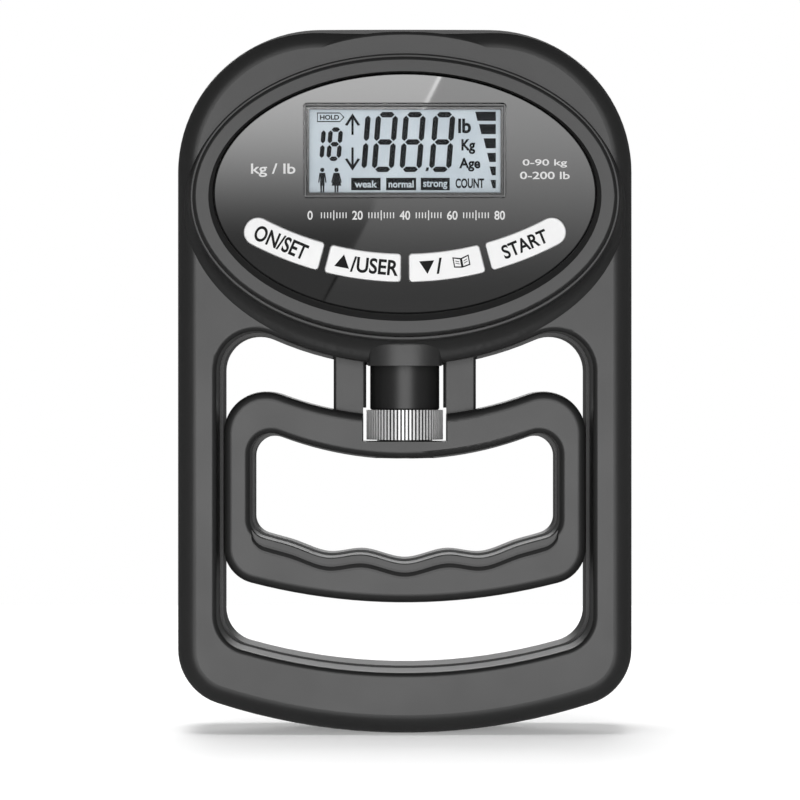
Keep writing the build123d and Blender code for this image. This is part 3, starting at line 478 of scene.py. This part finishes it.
for word, angle, key, body, wide, tall in (
    ("ON/SET", -23.0, "key_on_set", "on_set_key", 0.0148, 0.0043),
    ("/USER", -5.5, "key_up", "up_key", 0.0128, 0.0042),
    ("/", 6.2, "key_down", "down_key", 0.0018, 0.0042),
    ("START", 22.2, "key_start", "start_key", 0.0126, 0.0038),
):
    x, y, z, a = on_key(angle, key)
    add_text("legend_" + key, word, x, y, z, LEGEND_SIZE, "legend_ink", body,
             turn=a, weight=0.00012, fit=(wide, tall))

HEAD_HALF, HEAD_BASE, HEAD_TIP = 0.0020, 0.0016, 0.0019
x, y, z, a = on_key(-11.3, "key_up")
up_arrow = [(-HEAD_HALF, -HEAD_BASE), (HEAD_HALF, -HEAD_BASE), (0, HEAD_TIP)]
add_mesh("legend_up_arrow", [turned(up_arrow, x, z, a)], y, "legend_ink", "up_key")
x, y, z, a = on_key(4.0, "key_down")
down_arrow = [(-HEAD_HALF, HEAD_BASE), (0, -HEAD_TIP), (HEAD_HALF, HEAD_BASE)]
add_mesh("legend_down_arrow", [turned(down_arrow, x, z, a)], y, "legend_ink", "down_key")

# An open book: two pages drawn as outlines, with two lines of writing on each.
x, y, z, a = on_key(10.3, "key_down")
book = []
for side in (-1, 1):
    page = [(0, -0.0014), (side * 0.0022, -0.0010), (side * 0.0022, 0.0018), (0, 0.0012)]
    inside = [(side * 0.0003, -0.0010), (side * 0.0019, -0.0007),
              (side * 0.0019, 0.0014), (side * 0.0003, 0.0009)]
    for i in range(4):
        j = (i + 1) % 4
        book.append(turned([page[i], page[j], inside[j], inside[i]], x, z, a))
    for drop in (0, 0.0006):
        book.append(turned([(side * 0.0006, 0.0004 - drop), (side * 0.0016, 0.0008 - drop),
                            (side * 0.0016, 0.0006 - drop), (side * 0.0006, 0.0002 - drop)], x, z, a))
add_mesh("legend_book", book, y, "legend_ink", "down_key")

# ---------------------------------------------------------------- camera
CAMERA = Vector((-0.0013, -0.5765, 0.0902))
camera_data = bpy.data.cameras.new("camera")
camera_data.lens = 95.1
camera_data.sensor_width = 36
camera = bpy.data.objects.new("camera", camera_data)
camera.location = CAMERA
camera.rotation_euler = (pi / 2, 0, 0)
bpy.context.scene.collection.objects.link(camera)
bpy.context.scene.camera = camera


# ---------------------------------------------------------------- lights
def group(name, pieces, state):
    """A light linking collection that takes pieces in or leaves them out."""
    collection = bpy.data.collections.new(name)
    for index, piece in enumerate(pieces):
        collection.objects.link(piece)
        collection.collection_objects[index].light_linking.link_state = state
    return collection


def area(name, place, aim, wide, tall, radiance):
    """A soft box whose face has an even radiance."""
    data = bpy.data.lights.new(name, "AREA")
    data.shape = "RECTANGLE"
    data.size = wide
    data.size_y = tall
    data.energy = radiance * pi * wide * tall
    light = bpy.data.objects.new(name, data)
    light.location = place
    direction = Vector(aim) - Vector(place)
    light.rotation_euler = direction.to_track_quat("-Z", "Y").to_euler()
    light.visible_camera = False
    bpy.context.scene.collection.objects.link(light)
    return light


GLOSSY = [NODES["face_panel"], NODES["display_window"]]
front_box = area("front_box", (0, -1.5, 0.10), (0, 0, 0.10), wide=1.1, tall=1.1, radiance=4.2)
front_box.light_linking.receiver_collection = group("not_glossy", GLOSSY, "EXCLUDE")
area("rear_box", (0, 1.5, 0.9), (0, 0, 0.1), wide=1.2, tall=0.8, radiance=3.0)

CARD_Y = -1.4


def mirrored(x, z):
    """Where the panel, seen at x and z from the camera, reflects the plane of the cards."""
    reach = 1 + (PANEL_LOW.y - CARD_Y) / (PANEL_LOW.y - CAMERA.y)
    return CAMERA.x + (x - CAMERA.x) * reach, CARD_Y, CAMERA.z + (z - CAMERA.z) * reach


def card(name, corners, top, bottom, rise):
    """A hanging card that only the panel reflects.

    Its glow fades from top to bottom; the fade ends where the panel, rise above its lower edge, reflects it.
    """
    mesh = bpy.data.meshes.new(name)
    mesh.from_pydata([mirrored(x, z) for x, z in corners], [], [range(len(corners))])
    board = bpy.data.objects.new(name, mesh)
    material = bpy.data.materials.new(name)
    material.use_nodes = True
    tree = material.node_tree
    tree.nodes.clear()
    glow = tree.nodes.new("ShaderNodeEmission")
    output = tree.nodes.new("ShaderNodeOutputMaterial")
    place = tree.nodes.new("ShaderNodeTexCoord")
    split = tree.nodes.new("ShaderNodeSeparateXYZ")
    fade = tree.nodes.new("ShaderNodeMapRange")
    fade.interpolation_type = "SMOOTHSTEP"
    fade.inputs["From Min"].default_value = mirrored(0, PANEL_LOW.z + rise)[2]
    fade.inputs["From Max"].default_value = mirrored(0, PANEL_HIGH.z)[2]
    fade.inputs["To Min"].default_value = bottom
    fade.inputs["To Max"].default_value = top
    tree.links.new(place.outputs["Object"], split.inputs["Vector"])
    tree.links.new(split.outputs["Z"], fade.inputs["Value"])
    tree.links.new(fade.outputs["Result"], glow.inputs["Strength"])
    tree.links.new(glow.outputs["Emission"], output.inputs["Surface"])
    mesh.materials.append(material)
    board.visible_camera = False
    board.visible_shadow = False
    board.visible_diffuse = False
    board.light_linking.receiver_collection = group(name + "_on", [NODES["face_panel"]], "INCLUDE")
    bpy.context.scene.collection.objects.link(board)


# Three cards side by side: a bright left one, a thin brighter streak on a slant, and a dimmer right one.
SIDE, HIGH, LOW = 0.056, 0.1810, 0.108
STREAK = 0.0011
EDGE_TOP, EDGE_MIDDLE, EDGE_FOOT = (0.0112, HIGH), (-0.0160, 0.1280), (-0.0262, LOW)
STREAK_TOP = (EDGE_TOP[0] + STREAK, EDGE_TOP[1])
STREAK_MIDDLE = (EDGE_MIDDLE[0] + STREAK, EDGE_MIDDLE[1])
left_card = [EDGE_TOP, (-SIDE, HIGH), (-SIDE, LOW), EDGE_FOOT, EDGE_MIDDLE]
streak_card = [EDGE_TOP, EDGE_MIDDLE, STREAK_MIDDLE, STREAK_TOP]
right_card = [STREAK_TOP, STREAK_MIDDLE, EDGE_FOOT, (SIDE, LOW), (SIDE, HIGH)]
card("card_left", left_card, top=10.5, bottom=0.7, rise=0.018)
card("card_streak", streak_card, top=17.0, bottom=0.8, rise=0.020)
card("card_right", right_card, top=6.5, bottom=0.9, rise=0.004)

# The background is white to the camera, and a weak even light on everything else.
AMBIENT = 0.14

world = bpy.data.worlds.new("studio")
bpy.context.scene.world = world
world.use_nodes = True
nodes = world.node_tree.nodes
links = world.node_tree.links
background = nodes["Background"]
background.inputs["Color"].default_value = (1, 1, 1, 1)
path = nodes.new("ShaderNodeLightPath")
level = nodes.new("ShaderNodeMapRange")
level.inputs["To Min"].default_value = AMBIENT
level.inputs["To Max"].default_value = 1.0
links.new(path.outputs["Is Camera Ray"], level.inputs["Value"])
links.new(level.outputs["Result"], background.inputs["Strength"])

# ---------------------------------------------------------------- floor
FLOOR_HALF, FLOOR_FRONT, FLOOR_BACK = 0.6, -0.55, 0.35
floor_corners = [
    (-FLOOR_HALF, FLOOR_FRONT, 0),
    (FLOOR_HALF, FLOOR_FRONT, 0),
    (FLOOR_HALF, FLOOR_BACK, 0),
    (-FLOOR_HALF, FLOOR_BACK, 0),
]
floor_mesh = bpy.data.meshes.new("floor")
floor_mesh.from_pydata(floor_corners, [], [(0, 1, 2, 3)])
floor = bpy.data.objects.new("floor", floor_mesh)
floor_surface = Surface("floor_paper", Roughness=0.9)
floor_surface.tint(floor_surface.ramp(floor_surface.noise(3), 0, 1), grey(0.93), grey(0.95))
floor_mesh.materials.append(floor_surface.material)
floor.visible_shadow = False
floor.visible_glossy = False
bpy.context.scene.collection.objects.link(floor)
floor_light = area("floor_light", (-0.1, 0.05, 1.2), (0, 0, 0), wide=0.7, tall=0.7, radiance=7.0)
floor_fill = area("floor_fill", (0.1, -0.1, 1.2), (0, 0, 0), wide=0.7, tall=0.7, radiance=3.5)
floor_fill.data.use_shadow = False
floor_only = group("floor_only", [floor], "INCLUDE")
for light in (floor_light, floor_fill):
    light.light_linking.receiver_collection = floor_only

bpy.context.scene.view_settings.view_transform = "Standard"
